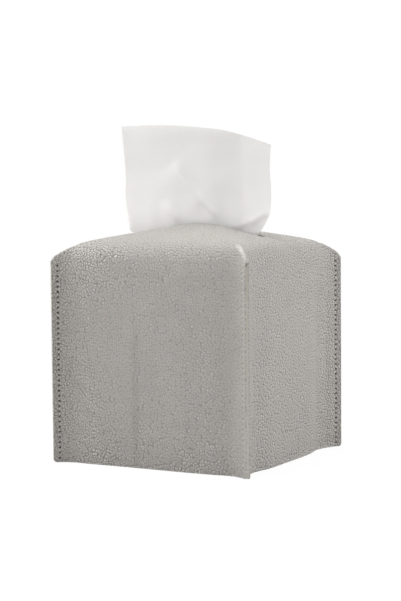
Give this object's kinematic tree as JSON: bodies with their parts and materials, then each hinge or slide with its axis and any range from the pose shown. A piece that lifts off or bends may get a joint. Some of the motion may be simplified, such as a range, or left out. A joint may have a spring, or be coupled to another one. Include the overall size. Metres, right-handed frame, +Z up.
{
  "type": "tissue box cover",
  "caption": "Square pebbled leather cover with an arched, slotted top and stitched corner fins, set over a tissue carton and closed by a belt underneath.",
  "frame": {"origin": "on the table, under the middle of the cover", "axes": "+Z up, the slot runs along X, the front wall faces -Y and the wall with the visible box stitch faces +X"},
  "size_m": [0.1404, 0.1404, 0.213],
  "materials": {
    "leather": "grey, pebble grain, semi-matt",
    "lining": "brushed backing cloth",
    "seam_thread": "twisted sewing thread",
    "belt": "grey strap leather",
    "tape": "hook and loop tape",
    "carton": "plain white board",
    "film": "clear film",
    "tissue": "soft white tissue"
  },
  "bodies": {
    "tissue_pack": {"carton": "carton", "carton_film": "film", "tissue_stack": "tissue"},
    "cover": {"outer_leather": "leather", "lining": "lining", "needle_thread_front_right": "seam_thread", "bobbin_thread_front_right": "seam_thread", "needle_thread_back_right": "seam_thread", "bobbin_thread_back_right": "seam_thread", "needle_thread_back_left": "seam_thread", "bobbin_thread_back_left": "seam_thread", "needle_thread_front_left": "seam_thread", "bobbin_thread_front_left": "seam_thread", "loop_patch_right": "tape", "loop_patch_thread_right": "seam_thread", "loop_patch_left": "tape", "loop_patch_thread_left": "seam_thread"},
    "belt": {"belt_strap": "belt", "hook_pad_right": "tape", "hook_pad_thread_right": "seam_thread", "hook_pad_left": "tape", "hook_pad_thread_left": "seam_thread"},
    "tissue": {"pulled_tissue": "tissue"}
  },
  "joints": [
    {"name": "cover_lift", "type": "slide", "parent": "tissue_pack", "child": "cover", "axis": [0, 0, 1], "range_m": [0, 0.14]},
    {"name": "tissue_pull", "type": "slide", "parent": "cover", "child": "tissue", "axis": [0, 0, 1], "range_m": [0, 0.09]},
    {"name": "belt_pull_off", "type": "slide", "parent": "tissue_pack", "child": "belt", "axis": [0, 0, -1], "range_m": [0, 0.05]}
  ]
}
